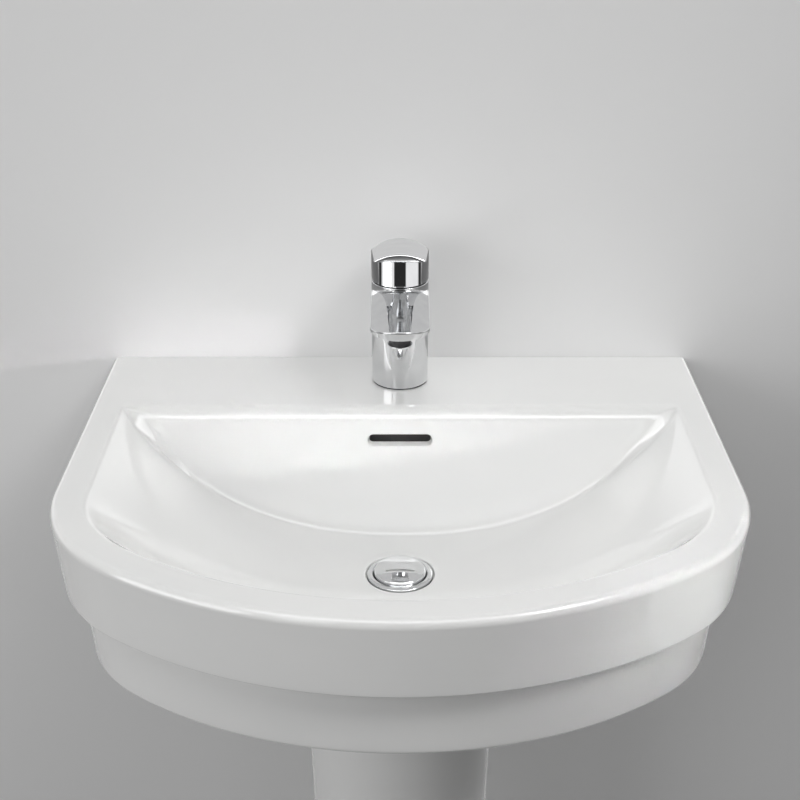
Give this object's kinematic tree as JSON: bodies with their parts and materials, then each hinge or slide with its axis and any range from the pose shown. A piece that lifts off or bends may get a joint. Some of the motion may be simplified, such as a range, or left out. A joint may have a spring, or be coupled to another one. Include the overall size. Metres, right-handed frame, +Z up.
{
  "type": "pedestal washbasin",
  "caption": "D-shaped ceramic washbasin with a two-tier skirt on a hollow pedestal, with a single-lever mixer tap, a click waste and a bottle trap.",
  "frame": {"origin": "centre of the overall box, on the floor", "axes": "+Z up from the floor, +Y back to the wall, +X to the right of a person who faces the basin"},
  "size_m": [0.6, 0.4859, 1.013],
  "materials": {
    "glaze": "glossy white glaze",
    "chrome": "polished chrome",
    "brass": "machined",
    "steel": "plain stainless",
    "rubber": "matt",
    "white_plastic": "moulded, half gloss",
    "grey_plastic": "moulded",
    "disc_ceramic": "lapped"
  },
  "bodies": {
    "basin_set": {"basin": "glaze", "pedestal": "glaze", "tap_body": "chrome", "dome_cover": "chrome", "aerator_housing": "chrome", "waste_body": "chrome", "cartridge_nut": "brass", "backnut": "brass", "plug_cartridge": "brass", "fixing_stud": "steel", "clamp_plate": "steel", "clamp_nut": "steel", "plug_spring": "steel", "tap_base_seal": "rubber", "clamp_gasket": "rubber", "cartridge_seals": "rubber", "aerator_seal": "rubber", "flange_seal": "rubber", "lower_seal": "rubber", "trap_inlet_washer": "rubber", "trap_top_seal": "rubber", "trap_cup_seal": "rubber", "trap_outlet_seal": "rubber", "pedestal_pads": "rubber", "trap_inlet_nut": "white_plastic", "trap_dip_tube": "white_plastic", "trap_top_nut": "white_plastic", "trap_body": "white_plastic", "trap_cup": "white_plastic", "trap_outlet_nut": "white_plastic", "trap_outlet_pipe": "white_plastic", "cartridge_housing": "grey_plastic", "aerator_insert": "grey_plastic", "fixed_disc": "disc_ceramic"},
    "carrier": {"spindle_carrier": "grey_plastic", "pivot_pin": "steel"},
    "lever": {"lever_handle": "chrome", "lever_stem": "steel", "grub_screw": "steel", "index_plug": "grey_plastic"},
    "disc": {"moving_disc": "disc_ceramic"},
    "plug": {"plug_cap": "chrome", "plug_seal": "rubber", "plug_spindle": "steel"}
  },
  "joints": [
    {"name": "lever_turn", "type": "hinge", "parent": "basin_set", "child": "carrier", "pos_m": [0, 0.188, 0.959], "axis": [0, 0, 1], "range_deg": [-50, 50]},
    {"name": "lever_lift", "type": "hinge", "parent": "carrier", "child": "lever", "pos_m": [0, 0.188, 0.959], "axis": [-1, 0, 0], "range_deg": [0, 22]},
    {"name": "disc_slide", "type": "slide", "parent": "carrier", "child": "disc", "axis": [0, -1, 0], "range_m": [0, 0.0063]},
    {"name": "plug_slide", "type": "slide", "parent": "basin_set", "child": "plug", "axis": [0, 0, 1], "range_m": [0, 0.009], "deforming": ["plug_spring"]}
  ],
  "couplings": [
    {"joint": "disc_slide", "follows": "lever_lift", "m_per_rad": 0.0158}
  ]
}
